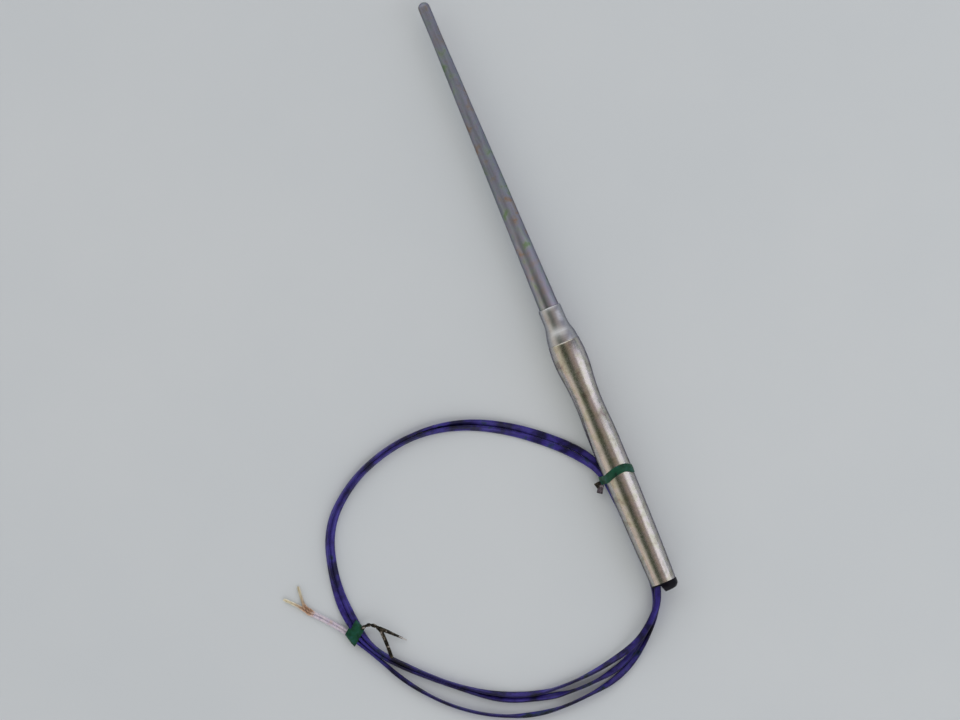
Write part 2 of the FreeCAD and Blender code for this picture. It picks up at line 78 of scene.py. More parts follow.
def skin(name, layers, replaced, sharp=35):
    """One mesh over layers of (grid, closed, material). A grid's rows follow the piece and its columns go
    round it and meet. The rows of a closed grid meet too; any other has each end row drawn in to its middle.
    The UV map holds the distance along in metres and the share of the way round. Folds of more than sharp
    degrees stay hard."""
    points, quads, places, owners, first = [], [], [], [], 0
    materials = list(dict.fromkeys(material for _, _, material in layers))
    for grid, closed, material in layers:
        if not closed:
            ends = [np.repeat(row.mean(0)[None, None], grid.shape[1], 1) for row in (grid[0], grid[-1])]
            grid = np.concatenate([ends[0], grid, ends[1]])
        rows, columns = grid.shape[:2]
        bands = rows if closed else rows - 1
        row, column = np.meshgrid(np.arange(bands), np.arange(columns), indexing="ij")
        below, beside = (row + 1) % rows, (column + 1) % columns
        corners = [row * columns + column, row * columns + beside,
                   below * columns + beside, below * columns + column]
        quads.append(np.stack(corners, -1).reshape(-1, 4) + first)
        steps = np.linalg.norm(np.diff(np.concatenate([grid[:, 0], grid[:1, 0]]), axis=0), axis=1)
        along = np.concatenate([[0], np.cumsum(steps)])
        share = np.arange(columns + 1) / columns
        unrolled = [(row, column), (row, column + 1), (row + 1, column + 1), (row + 1, column)]
        placed = np.stack([np.stack([along[r], share[c]], -1) for r, c in unrolled], 2)
        places.append(placed.reshape(-1, 2))
        owners.append(np.full(bands * columns, materials.index(material)))
        points.append(grid.reshape(-1, 3))
        first += rows * columns
    mesh = bpy.data.meshes.new(name)
    mesh.from_pydata(np.concatenate(points), [], np.concatenate(quads))
    mesh.uv_layers.new(name="UVMap").data.foreach_set("uv", np.concatenate(places).ravel())
    for material in materials:
        mesh.materials.append(material)
    mesh.polygons.foreach_set("material_index", np.concatenate(owners).astype(np.int32))
    merged = bmesh.new()
    merged.from_mesh(mesh)
    bmesh.ops.remove_doubles(merged, verts=merged.verts, dist=WELD)
    merged.to_mesh(mesh)
    merged.free()
    mesh.shade_smooth()
    mesh.set_sharp_from_angle(angle=math.radians(sharp))
    piece = bpy.data.objects.new(name, mesh)
    bpy.context.scene.collection.objects.link(piece)
    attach(piece, "root")
    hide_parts(*replaced)
    return piece


def add_node(tree, kind, inputs, **settings):
    """A node of one kind with its settings; inputs are values or other nodes' outputs, by socket."""
    node = tree.nodes.new(kind)
    for key, setting in settings.items():
        setattr(node, key, setting)
    for key, given in inputs.items():
        if isinstance(given, bpy.types.NodeSocket):
            tree.links.new(given, node.inputs[key])
        else:
            node.inputs[key].default_value = given
    return node


def calculated(tree, operation, *given):
    """The outcome of a Math node on numbers and other nodes' outputs."""
    return add_node(tree, "ShaderNodeMath", dict(enumerate(given)), operation=operation).outputs["Value"]


def share_between(tree, value, low, high):
    """How far a value has gone from low to high, from 0 to 1 and no further."""
    node = add_node(tree, "ShaderNodeMapRange", {"Value": value, "From Min": low, "From Max": high})
    return node.outputs["Result"]


def place_by(tree, kind):
    """X, Y and Z of a tree's texture coordinates of one kind."""
    where = next(node for node in tree.nodes if node.type == "TEX_COORD")
    return add_node(tree, "ShaderNodeSeparateXYZ", {"Vector": where.outputs[kind]}).outputs


def ramp(tree, factor, stops):
    """Colours at places from 0 to 1 along a factor, blended between."""
    node = add_node(tree, "ShaderNodeValToRGB", {"Fac": factor})
    elements = node.color_ramp.elements
    for index, (place, colour) in enumerate(stops):
        element = elements[index] if index < 2 else elements.new(place)
        element.position = place
        element.color = (*colour, 1.0)
    return node.outputs["Color"]


# The sockets of a Mix node that mixes colours, which share their names with its other sockets.
MIX_FACTOR, MIX_FIRST, MIX_SECOND, MIX_RESULT = 0, 6, 7, 2


def blended(tree, factor, first, second, kind="MIX"):
    """Two colours put together by a factor, mixed or multiplied."""
    node = add_node(tree, "ShaderNodeMix", {MIX_FACTOR: factor, MIX_FIRST: first, MIX_SECOND: second},
                    data_type="RGBA", blend_type=kind)
    return node.outputs[MIX_RESULT]


def new_group(name, inputs, outputs):
    """An empty shader node group with named inputs of (name, type, value) and named float outputs."""
    group = bpy.data.node_groups.new(name, "ShaderNodeTree")
    for label, kind, value in inputs:
        socket = group.interface.new_socket(label, in_out="INPUT", socket_type=kind)
        if value is not None:
            socket.default_value = value
    for label in outputs:
        group.interface.new_socket(label, in_out="OUTPUT", socket_type="NodeSocketFloat")
    return group, group.nodes.new("NodeGroupInput"), group.nodes.new("NodeGroupOutput")


# Patches: broad soft clouds with a finer cloud over them, stretched to 0..1. Grain: a fine even tooth.
surface_clouds, given, put_out = new_group("surface_clouds", [
    ("Vector", "NodeSocketVector", None), ("Patch Scale", "NodeSocketFloat", 60.0),
    ("Grain Scale", "NodeSocketFloat", 900.0)], ["Patches", "Grain"])
PATCH_LOW, PATCH_HIGH = 0.3, 0.7
broad = add_node(surface_clouds, "ShaderNodeTexNoise", {
    "Vector": given.outputs["Vector"], "Scale": given.outputs["Patch Scale"],
    "Detail": 4.0, "Roughness": 0.6})
tooth = add_node(surface_clouds, "ShaderNodeTexNoise", {
    "Vector": given.outputs["Vector"], "Scale": given.outputs["Grain Scale"],
    "Detail": 3.0, "Roughness": 0.65})
patches = share_between(surface_clouds, broad.outputs["Fac"], PATCH_LOW, PATCH_HIGH)
surface_clouds.links.new(patches, put_out.inputs["Patches"])
surface_clouds.links.new(tooth.outputs["Fac"], put_out.inputs["Grain"])

# Lines: marks that run round the piece or along it, as their two spacings say. Scratches: the few deep ones.
tool_lines, given, put_out = new_group("tool_lines", [
    ("Vector", "NodeSocketVector", None), ("Spacing", "NodeSocketVector", (4000.0, 2.0, 1.0))],
    ["Lines", "Scratches"])
SCRATCH_LOW, SCRATCH_HIGH = 0.66, 0.76
spread = add_node(tool_lines, "ShaderNodeVectorMath", {
    0: given.outputs["Vector"], 1: given.outputs["Spacing"]}, operation="MULTIPLY")
lines = add_node(tool_lines, "ShaderNodeTexNoise", {
    "Vector": spread.outputs["Vector"], "Scale": 1.0, "Detail": 2.0, "Roughness": 0.5})
scratches = share_between(tool_lines, lines.outputs["Fac"], SCRATCH_LOW, SCRATCH_HIGH)
tool_lines.links.new(lines.outputs["Fac"], put_out.inputs["Lines"])
tool_lines.links.new(scratches, put_out.inputs["Scratches"])
WEAR_LOW, WEAR_HIGH = 0.3, 0.8


def finish(name, tones, rough, patch, grain, bump, metallic=0.0, spacing=None, streaks=None, duller=None,
           ior=1.5, edge=(1.0, 1.0, 1.0)):
    """A material whose colour runs through tones over soft patches, with roughness between two values on the
    grain and a bump in metres from the grain. With spacing, worked lines on the UV map make the bump and the
    scratches, and multiply the colour by streaks. Duller is (from y, to y, roughness gained on the way, what
    the colour is multiplied by at its end). Edge tints what is seen at a grazing angle."""
    material = bpy.data.materials.new(name)
    material.use_nodes = True
    tree = material.node_tree
    shader = tree.nodes["Principled BSDF"]
    shader.inputs["Metallic"].default_value = metallic
    shader.inputs["IOR"].default_value = ior
    shader.inputs["Specular Tint"].default_value = (*edge, 1.0)
    where = add_node(tree, "ShaderNodeTexCoord", {})
    clouds = add_node(tree, "ShaderNodeGroup", {
        "Vector": where.outputs["Object"], "Patch Scale": patch, "Grain Scale": grain},
        node_tree=surface_clouds)
    colour = ramp(tree, clouds.outputs["Patches"], tones)
    height = wear = clouds.outputs["Grain"]
    if spacing:
        worked = add_node(tree, "ShaderNodeGroup", {"Vector": where.outputs["UV"], "Spacing": spacing},
                          node_tree=tool_lines)
        height = worked.outputs["Lines"]
        wear = calculated(tree, "MAXIMUM", worked.outputs["Scratches"], clouds.outputs["Grain"])
        if streaks:
            colour = blended(tree, 1.0, colour, ramp(tree, height, streaks), "MULTIPLY")
    roughness = add_node(tree, "ShaderNodeMapRange", {
        "Value": wear, "From Min": WEAR_LOW, "From Max": WEAR_HIGH,
        "To Min": rough[0], "To Max": rough[1]}).outputs["Result"]
    if duller:
        from_y, to_y, gained, end_tone = duller
        gone = share_between(tree, place_by(tree, "Object")["Y"], from_y, to_y)
        roughness = calculated(tree, "MULTIPLY_ADD", gone, gained, roughness)
        shade = ramp(tree, gone, [(0.0, (1.0, 1.0, 1.0)), (1.0, end_tone)])
        colour = blended(tree, 1.0, colour, shade, "MULTIPLY")
    tree.links.new(colour, shader.inputs["Base Color"])
    tree.links.new(roughness, shader.inputs["Roughness"])
    raised = add_node(tree, "ShaderNodeBump", {"Height": height, "Strength": 1.0, "Distance": bump})
    tree.links.new(raised.outputs["Normal"], shader.inputs["Normal"])
    return material


STEEL_EDGE = (0.12, 0.12, 0.25)
stem_steel = finish("heat_dulled_steel", [
    (0.0, (0.42, 0.28, 0.20)), (0.25, (0.38, 0.36, 0.37)), (0.45, (0.37, 0.36, 0.44)),
    (0.62, (0.35, 0.38, 0.42)), (0.82, (0.37, 0.41, 0.38)), (1.0, (0.26, 0.37, 0.22))],
    rough=(0.30, 0.44), patch=190, grain=1500, bump=0.00002, metallic=1.0, spacing=(70.0, 9.0, 1.0),
    streaks=[(0.3, (0.80, 0.80, 0.78)), (0.5, (1.0, 1.0, 1.0)), (0.7, (0.88, 0.84, 0.84))],
    duller=(-0.004, 0.05, 0.26, (0.68, 0.72, 0.75)), edge=STEEL_EDGE)
quarter = np.linspace(0, np.pi / 2, 25)
round_tip = np.c_[1 - np.cos(quarter), np.sin(quarter)]
parallel = np.linspace(PARALLEL_FROM, PARALLEL_TO, 6)
taper = np.linspace(TIP_PARALLEL, STEM_LENGTH, 32)
stem_profile = np.concatenate([
    round_tip * TIP_RADIUS,
    np.c_[parallel, np.full_like(parallel, TIP_RADIUS)],
    np.c_[taper, np.interp(taper, (TIP_PARALLEL, STEM_LENGTH), (TIP_RADIUS, ROOT_RADIUS))],
    [(STEM_END, ROOT_RADIUS), (STEM_END, ROOT_BORE), (STEM_LENGTH, ROOT_BORE), (TIP_PARALLEL, TIP_BORE)],
    (TIP_RADIUS - TIP_BORE, 0) + round_tip[::-1] * TIP_BORE,
])
skin("stem", [(turned(stem_profile), False, stem_steel)], ["stem_sheath"])


# Bush: a stainless collar turned on a lathe, its shoulder swelling in two arcs to meet the handle, with a
# head pressed into the handle. The tool has left fine rings, and a small chamfer breaks the front edge.
COLLAR_RADIUS, SHOULDER_RADIUS, HEAD_RADIUS, BUSH_BORE = 5.0, 6.62, 6.22, 4.35
COLLAR_LENGTH, CHAMFER, CHAMFER_ROUND = 6.0, 0.4, 0.14
COLLAR_END = STEM_LENGTH + COLLAR_LENGTH
LIP_FACE, HANDLE_END = behind_tip("handle_tube")


def arc_radius(run, rise):
    """Radius of an arc that leaves its crest level and falls by a rise over a run. Where two arcs share the
    run and the rise in an S, it is the sum of their radii."""
    return (run ** 2 + rise ** 2) / (2 * rise)


HALF_RUN, HALF_RISE = (LIP_FACE - COLLAR_END) / 2, (SHOULDER_RADIUS - COLLAR_RADIUS) / 2
SHOULDER_ARC = arc_radius(HALF_RUN, HALF_RISE)
shoulder_run = np.linspace(0, HALF_RUN, 12)
swell = SHOULDER_ARC - np.sqrt(SHOULDER_ARC ** 2 - shoulder_run ** 2)
bush_profile = np.concatenate([
    [(STEM_LENGTH, BUSH_BORE), (STEM_LENGTH, COLLAR_RADIUS - CHAMFER),
     (STEM_LENGTH + CHAMFER_ROUND, COLLAR_RADIUS - CHAMFER_ROUND), (STEM_LENGTH + CHAMFER, COLLAR_RADIUS),
     (STEM_LENGTH + COLLAR_LENGTH / 2, COLLAR_RADIUS)],
    np.c_[COLLAR_END + shoulder_run, COLLAR_RADIUS + swell],
    np.c_[LIP_FACE - shoulder_run, SHOULDER_RADIUS - swell][-2::-1],
    [(LIP_FACE, HEAD_RADIUS), (BUSH_END, HEAD_RADIUS), (BUSH_END, BUSH_BORE)],
])
turned_steel = finish("turned_steel", [
    (0.0, (0.41, 0.40, 0.40)), (0.5, (0.50, 0.52, 0.54)), (1.0, (0.45, 0.46, 0.48))],
    rough=(0.28, 0.46), patch=260, grain=1800, bump=0.000015, metallic=1.0, spacing=(5200.0, 3.0, 1.0),
    streaks=[(0.3, (0.88, 0.85, 0.82)), (0.6, (1.0, 1.0, 1.0))], edge=STEEL_EDGE)
skin("bush", [(turned(bush_profile), True, turned_steel)], ["reducing_bush"])


# Handle: one stainless tube spun to a flared nose, a slight waist and a long gentle barrel, then polished.
# Its lip closes over the bush's head, and years in the hand have clouded it and left hairlines along it.
NOSE, WAIST, BARREL, REAR = (7.5, 7.3), (28.5, 5.9), (49.0, 6.45), (HANDLE_END - LIP_FACE, 5.5)
LIP_DROP, LIP_EDGE = 0.48, [(0.0, 6.66), (0.08, 6.78)]
NOSE_ARC = arc_radius(NOSE[0], LIP_DROP)
WAIST_ARC = arc_radius(WAIST[0] - NOSE[0], NOSE[1] - WAIST[1]) - NOSE_ARC
BARREL_ARC = arc_radius(BARREL[0] - WAIST[0], BARREL[1] - WAIST[1]) - WAIST_ARC
REAR_ARC = arc_radius(REAR[0] - BARREL[0], BARREL[1] - REAR[1])
NOSE_ENDS = NOSE[0] + (WAIST[0] - NOSE[0]) * NOSE_ARC / (NOSE_ARC + WAIST_ARC)
WAIST_ENDS = WAIST[0] + (BARREL[0] - WAIST[0]) * WAIST_ARC / (WAIST_ARC + BARREL_ARC)
HANDLE_WALL, SEAT_RADIUS, SEAT_RUN = 1.0, 6.27, 10.0
FINE_FROM, FINE_TO, COARSE_FROM = 0.2, 34.0, 35.0


def crest(run, top, arc):
    """Radius on an arc that crests at top, a place of (run, radius): the radius less the arc's sag there."""
    return top[1] - arc + np.sqrt(arc ** 2 - np.minimum(np.abs(run - top[0]), arc) ** 2)


def handle_outside(run):
    """Radius of the handle at a run behind its lip: four arcs, each tangent to the next. The waist's arc is
    a crest turned over, so that it is hollow."""
    hollow = 2 * WAIST[1] - crest(run, WAIST, WAIST_ARC)
    return np.select([run < NOSE_ENDS, run < WAIST_ENDS, run < BARREL[0]],
                     [crest(run, NOSE, NOSE_ARC), hollow, crest(run, BARREL, BARREL_ARC)],
                     crest(run, BARREL, REAR_ARC))


handle_run = np.concatenate([np.linspace(FINE_FROM, FINE_TO, 60), np.linspace(COARSE_FROM, REAR[0], 61)])
handle_profile = np.concatenate([
    [(0.0, SEAT_RADIUS), *LIP_EDGE],
    np.c_[handle_run, handle_outside(handle_run)],
    [(run, radius - HANDLE_WALL) for run, radius in (REAR, BARREL, WAIST)],
    [(SEAT_RUN, SEAT_RADIUS)],
]) + (LIP_FACE, 0)
polished_steel = finish("polished_steel", [
    (0.0, (0.38, 0.33, 0.30)), (0.3, (0.51, 0.51, 0.43)), (0.6, (0.58, 0.55, 0.54)),
    (1.0, (0.43, 0.44, 0.40))],
    rough=(0.20, 0.34), patch=190, grain=1200, bump=0.000008, metallic=1.0, spacing=(45.0, 16.0, 1.0),
    streaks=[(0.3, (0.86, 0.86, 0.83)), (0.5, (1.0, 1.0, 1.0)), (0.7, (0.90, 0.85, 0.84))], edge=STEEL_EDGE)
skin("handle", [(turned(handle_profile, columns=192), True, polished_steel)],
     ["handle_tube"])


# Thermocouple inside the stem: two nickel-alloy wires welded in a bead at the tip and threaded through
# twin-bore ceramic beads. In the handle each is crimped to a core of the lead, under a shrunk sleeve.
thermo_alloy = finish("drawn_nickel_alloy", [
    (0.0, (0.46, 0.44, 0.41)), (1.0, (0.56, 0.54, 0.51))], rough=(0.25, 0.45), patch=400, grain=2500,
    bump=0.000006, metallic=1.0)
bead_ceramic = finish("unglazed_ceramic", [
    (0.0, (0.82, 0.79, 0.71)), (1.0, (0.91, 0.89, 0.84))], rough=(0.65, 0.9), patch=300, grain=3000,
    bump=0.00002)
ferrule_metal = finish("crimped_brass", [
    (0.0, (0.60, 0.44, 0.20)), (1.0, (0.74, 0.60, 0.34))], rough=(0.25, 0.45), patch=500, grain=2200,
    bump=0.00001, metallic=1.0)
sleeve_plastic = finish("shrunk_sleeve", [
    (0.0, (0.74, 0.74, 0.72)), (1.0, (0.83, 0.83, 0.81))], rough=(0.4, 0.6), patch=300, grain=1800,
    bump=0.00001)
core_insulation = finish("pale_core_insulation", [
    (0.0, (0.54, 0.45, 0.42)), (0.35, (0.50, 0.45, 0.57)), (0.65, (0.62, 0.57, 0.63)),
    (1.0, (0.42, 0.38, 0.50))], rough=(0.35, 0.55), patch=260, grain=1800, bump=0.00001)
# A node takes the first of these that its name begins with, so a sleeve stands before its splice.
INSIDE = {"hot_junction": thermo_alloy, "positive_leg": thermo_alloy, "negative_leg": thermo_alloy,
          "insulator_bead": bead_ceramic, "positive_splice_sleeve": sleeve_plastic,
          "negative_splice_sleeve": sleeve_plastic, "positive_splice": ferrule_metal,
          "negative_splice": ferrule_metal, "inner_core": core_insulation}
for node_name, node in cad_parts.items():
    for beginning, material in INSIDE.items():
        if node_name.startswith(beginning):
            node.data.materials.clear()
            node.data.materials.append(material)
            break


# End seal: a moulded black rubber plug, its spigot pushed into the handle and its rounded face over the rim.
# The left of the face is cut back to a step, and the lead comes out there.
SEAL_START, SEAL_FACE = behind_tip("end_seal")
SPIGOT_RADIUS, SEAL_RADIUS, SEAL_ROUND, RIM_EDGE = 4.45, 5.7, 2.6, 0.2
STEP_PROUD = 0.6
STEP_FACE_Y = TIP_Y - (HANDLE_END + STEP_PROUD) * MM
STEP_SIDE_X, STEP_BLEND = -1.4 * MM, 1.6 * MM
rim = np.linspace(HANDLE_END + 2 * RIM_EDGE, SEAL_FACE - SEAL_ROUND, 4)
face = np.linspace(SEAL_RADIUS - SEAL_ROUND - RIM_EDGE, RIM_EDGE, 14)
seal_profile = np.concatenate([
    [(SEAL_START, SPIGOT_RADIUS), (HANDLE_END, SPIGOT_RADIUS), (HANDLE_END, SEAL_RADIUS - RIM_EDGE),
     (HANDLE_END + RIM_EDGE, SEAL_RADIUS)],
    np.c_[rim, np.full_like(rim, SEAL_RADIUS)],
    np.c_[SEAL_FACE - SEAL_ROUND + SEAL_ROUND * np.sin(quarter),
          SEAL_RADIUS - SEAL_ROUND + SEAL_ROUND * np.cos(quarter)][1:],
    np.c_[np.full_like(face, SEAL_FACE), face],
])
seal_grid = turned(seal_profile)
cut_back = np.clip((STEP_SIDE_X - seal_grid[..., 0]) / STEP_BLEND + 0.5, 0, 1)
seal_grid[..., 1] += cut_back ** 2 * (3 - 2 * cut_back) * np.maximum(STEP_FACE_Y - seal_grid[..., 1], 0)
moulded_rubber = finish("moulded_rubber", [
    (0.0, (0.002, 0.002, 0.004)), (0.5, (0.004, 0.004, 0.008)), (1.0, (0.003, 0.003, 0.004))],
    rough=(0.34, 0.50), patch=300, grain=2600, bump=0.00003, ior=1.18)
skin("seal", [(seal_grid, False, moulded_rubber)], ["end_seal"])


# Lead: a flat twin lead, two cores side by side in one soft indigo jacket, about a metre of it. It leaves
# the seal at the left, passes over its own later turns, goes twice round and lies flat or on edge as its
# twist takes it.
HALF_WIDTH, HALF_THICKNESS, GROOVE = 1.42 * MM, 0.56 * MM, 0.05 * MM
CORE_SPREAD = HALF_WIDTH - HALF_THICKNESS
TUBE_RADIUS = 1.0 * MM
LEAD_ROUTE = [
    (0.0, -0.1070, 0.0073), (0.0, -0.1180, 0.0073), (-0.0041, -0.1373, 0.0066), (-0.0122, -0.1454, 0.0057),
    (-0.0204, -0.1510, 0.0044), (-0.0337, -0.1545, 0.0020), (-0.0501, -0.1564, 0.0010),
    (-0.0670, -0.1555, 0.0010), (-0.0830, -0.1492, 0.0010), (-0.0989, -0.1380, 0.0010),
    (-0.1128, -0.1243, 0.0010), (-0.1248, -0.1108, 0.0016), (-0.1280, -0.0950, 0.0016),
    (-0.1282, -0.0762, 0.0010), (-0.1221, -0.0559, 0.0010), (-0.1073, -0.0427, 0.0010),
    (-0.0900, -0.0358, 0.0010), (-0.0720, -0.0335, 0.0010), (-0.0535, -0.0375, 0.0010),
    (-0.0367, -0.0466, 0.0010), (-0.0213, -0.0593, 0.0010), (-0.0120, -0.0696, 0.0020),
    (-0.0063, -0.0788, 0.0036), (-0.0056, -0.0955, 0.0010), (-0.0044, -0.1150, 0.0010),
    (-0.0049, -0.1368, 0.0010), (-0.0142, -0.1486, 0.0010), (-0.0298, -0.1583, 0.0010),
    (-0.0506, -0.1603, 0.0010), (-0.0674, -0.1575, 0.0010), (-0.0842, -0.1513, 0.0010),
    (-0.0994, -0.1388, 0.0010), (-0.1135, -0.1258, 0.0010), (-0.1258, -0.1118, 0.0016),
    (-0.1311, -0.0948, 0.0016), (-0.1302, -0.0757, 0.0010), (-0.1239, -0.0549, 0.0010),
    (-0.1083, -0.0413, 0.0010), (-0.0905, -0.0341, 0.0010), (-0.0717, -0.0317, 0.0010),
    (-0.0524, -0.0354, 0.0010), (-0.0349, -0.0445, 0.0010), (-0.0192, -0.0573, 0.0010),
    (-0.0097, -0.0676, 0.0015), (-0.0050, -0.0774, 0.0017), (-0.0036, -0.0945, 0.0012),
    (-0.0024, -0.1145, 0.0010), (-0.0035, -0.1363, 0.0010), (-0.0109, -0.1474, 0.0010),
    (-0.0295, -0.1616, 0.0010), (-0.0517, -0.1646, 0.0010), (-0.0695, -0.1638, 0.0010),
    (-0.0875, -0.1575, 0.0010), (-0.1039, -0.1458, 0.0010), (-0.1170, -0.1300, 0.0010),
    (-0.1254, -0.1131, 0.0016), (-0.1306, -0.1038, 0.0016), (-0.1325, -0.1000, 0.0015),
]

# Each twist is (point of the route, degrees that the lead is rolled from flat). The second turn repeats the
# first, but between ROOF_FROM and ROOF_TO it leans against it like the other side of a roof. It comes out of
# that half a turn lower, where the flat lead is the same again, so later rolls are less HALF_TURN.
POINTS_IN_A_TURN, HALF_TURN = 22, 180
ROOF_FROM, ROOF_TO = 12.2, 17.5
TURN_TWIST = [
    (7.05, 48), (7.6, 39), (8.05, 53), (8.35, 73), (9, 88), (9.75, 86), (10.1, 74), (11.2, 80), (11.45, 62),
    (11.7, 38), (12, 26), (12.5, 41), (13.1, 51), (14.2, 60), (14.9, 66), (15.4, 73), (16, 72), (16.6, 68),
    (17.2, 60), (17.9, 46), (18.6, 32), (19.3, 20), (19.7, 5), (20.4, 5)]
LAST_TWIST = [
    (43, 5), (44, -30), (45, 5), (46, 10), (47, 80), (48, 70), (48.4, 48), (48.8, 27), (49.2, 22),
    (49.75, 86), (50.5, 86), (51, 56), (51.35, 55), (51.7, 82), (53.4, 86), (54.2, 62), (54.9, 78),
    (55.6, 70), (56.3, 45), (57, 20)]
LEAD_TWIST = [
    (0, 0), (2, 8), (3, 12), (4.6, 20), (5.1, 47), (5.5, 66), (5.95, 88), (6.7, 86), *TURN_TWIST,
    (21, 15), (22, 45), (23, 86), (24, 86), (25, 84), (26, 72), (26.4, 46), (26.8, 27), (27.2, 22),
    (27.55, 86), (28.3, 84), (28.65, 8), (28.85, 25),
    *[(point + POINTS_IN_A_TURN, roll) for point, roll in TURN_TWIST if point < ROOF_FROM],
    (34.35, -10), (34.7, -44), (35.1, -60), (36.2, -62), (36.9, -70), (37.4, -76), (38, -78), (38.6, -82),
    (39.2, -104),
    *[(point + POINTS_IN_A_TURN, roll - HALF_TURN) for point, roll in TURN_TWIST if point > ROOF_TO],
    *[(point, roll - HALF_TURN) for point, roll in LAST_TWIST]]


def smooth_line(points, resolution=16):
    """Points along a NURBS line of order 3 that has the given points as its control points."""
    curve = bpy.data.curves.new("line", "CURVE")
    curve.dimensions = "3D"
    curve.resolution_u = resolution
    spline = curve.splines.new("NURBS")
    spline.points.add(len(points) - 1)
    spline.points.foreach_set("co", np.c_[np.asarray(points, float), np.ones(len(points))].ravel())
    spline.order_u = 3
    spline.use_endpoint_u = True
    holder = bpy.data.objects.new("line", curve)
    mesh = bpy.data.meshes.new_from_object(holder)
    line = np.empty(len(mesh.vertices) * 3)
    mesh.vertices.foreach_get("co", line)
    bpy.data.meshes.remove(mesh)
    bpy.data.objects.remove(holder)
    bpy.data.curves.remove(curve)
    return line.reshape(-1, 3)


def directions(line):
    """Unit vectors along a line, level across it to the left, and square to both."""
    ahead = np.gradient(line, axis=0)
    ahead /= np.linalg.norm(ahead, axis=1, keepdims=True)
    level = np.cross((0, 0, 1), ahead)
    level /= np.linalg.norm(level, axis=1, keepdims=True)
    return ahead, level, np.cross(ahead, level)


def carried(line, roll, across, through):
    """A closed section carried along a line: at each point the section's across and through sizes are laid
    on the level and upright directions there, both turned by the roll."""
    _, level, upright = directions(line)
    cosine, sine = np.cos(roll)[:, None], np.sin(roll)[:, None]
    flat, deep = level * cosine + upright * sine, upright * cosine - level * sine
    return line[:, None] + flat[:, None] * across[..., None] + deep[:, None] * through[..., None]


def twin_section(columns=36):
    """The lead's outline over a way round t: across is the half-width times cos t. Through is the
    half-thickness, rounded off as a circle is beyond each core's middle, less a groove that follows half a
    cosine wave between the cores; its sign is that of sin t."""
    turn = np.linspace(0, 2 * np.pi, columns, endpoint=False)
    across = HALF_WIDTH * np.cos(turn)
    beyond = np.clip((np.abs(across) - CORE_SPREAD) / HALF_THICKNESS, 0, 1)
    between = np.clip(1 - np.abs(across) / CORE_SPREAD, 0, 1)
    through = HALF_THICKNESS * np.sqrt(1 - beyond ** 2) - GROOVE * (1 - np.cos(np.pi * between)) / 2
    return across[None], (np.sign(np.round(np.sin(turn), 9)) * through)[None]


def tint(material, factor, second, kind="MIX"):
    """Puts a second colour over a material's own by a factor, mixed or multiplied."""
    tree = material.node_tree
    base = tree.nodes["Principled BSDF"].inputs["Base Color"]
    tree.links.new(blended(tree, factor, base.links[0].from_socket, second, kind), base)


# The route is the middle of a round tube of TUBE_RADIUS. As the lead leaves the seal, between the points
# OUT_FROM and OUT_TO of the route, its line goes over to the height at which the rolled flat section stands.
OUT_FROM, OUT_TO = 1.5, 3.5
lead_line = smooth_line(LEAD_ROUTE)
pulled_by = np.linspace(0, len(LEAD_ROUTE) - 2, len(lead_line)) + 0.5
twist_point, twist = np.array(LEAD_TWIST, float).T
weights = np.hanning(11)[1:-1]
weights /= weights.sum()
lead_roll = np.interp(pulled_by, twist_point, np.radians(twist))
lead_roll = np.convolve(np.pad(lead_roll, len(weights) // 2, "edge"), weights, "valid")
stands = CORE_SPREAD * np.abs(np.sin(lead_roll)) + HALF_THICKNESS
lead_line[:, 2] += (stands - TUBE_RADIUS) * np.interp(pulled_by, (OUT_FROM, OUT_TO), (0, 1))
lead_jacket = finish("indigo_lead_jacket", [
    (0.0, (0.004, 0.004, 0.018)), (0.28, (0.012, 0.010, 0.070)), (0.5, (0.034, 0.023, 0.200)),
    (0.72, (0.050, 0.040, 0.270)), (0.88, (0.022, 0.040, 0.110)), (1.0, (0.008, 0.018, 0.030))],
    rough=(0.34, 0.52), patch=120, grain=1600, bump=0.00001, spacing=(60.0, 10.0, 1.0),
    streaks=[(0.3, (0.5, 0.5, 0.55)), (0.6, (1.0, 1.0, 1.0))], ior=1.3)

# The jacket's narrow edges carry painted shade, which is deeper towards the end behind the seal.
PLAIN_SIDE = (1.0, 1.0, 1.0, 1.0)
EDGE_SHADE, DEEP_EDGE_SHADE = (0.85, 0.87, 0.90, 1.0), (0.30, 0.30, 0.33, 1.0)
EDGE_FROM, EDGE_TO = 0.6, 0.96
DEEP_SHADE_FROM_Y, DEEP_SHADE_TO_Y = -0.106, -0.124
jacket_tree = lead_jacket.node_tree
way_round = calculated(jacket_tree, "MULTIPLY", place_by(jacket_tree, "UV")["Y"], 2 * math.pi)
edgeward = calculated(jacket_tree, "ABSOLUTE", calculated(jacket_tree, "COSINE", way_round))
at_edge = share_between(jacket_tree, edgeward, EDGE_FROM, EDGE_TO)
deep_shade_share = share_between(jacket_tree, place_by(jacket_tree, "Object")["Y"], DEEP_SHADE_FROM_Y, DEEP_SHADE_TO_Y)
# Painted shade: the jacket's colour is multiplied darker at its narrow edges, and more so behind the seal.
painted_edge_shade = blended(jacket_tree, deep_shade_share, EDGE_SHADE, DEEP_EDGE_SHADE)
tint(lead_jacket, 1.0, blended(jacket_tree, at_edge, PLAIN_SIDE, painted_edge_shade), "MULTIPLY")
lead = skin("lead", [(carried(lead_line, lead_roll, *twin_section()), False, lead_jacket)],
            ["lead_cable"], sharp=60)


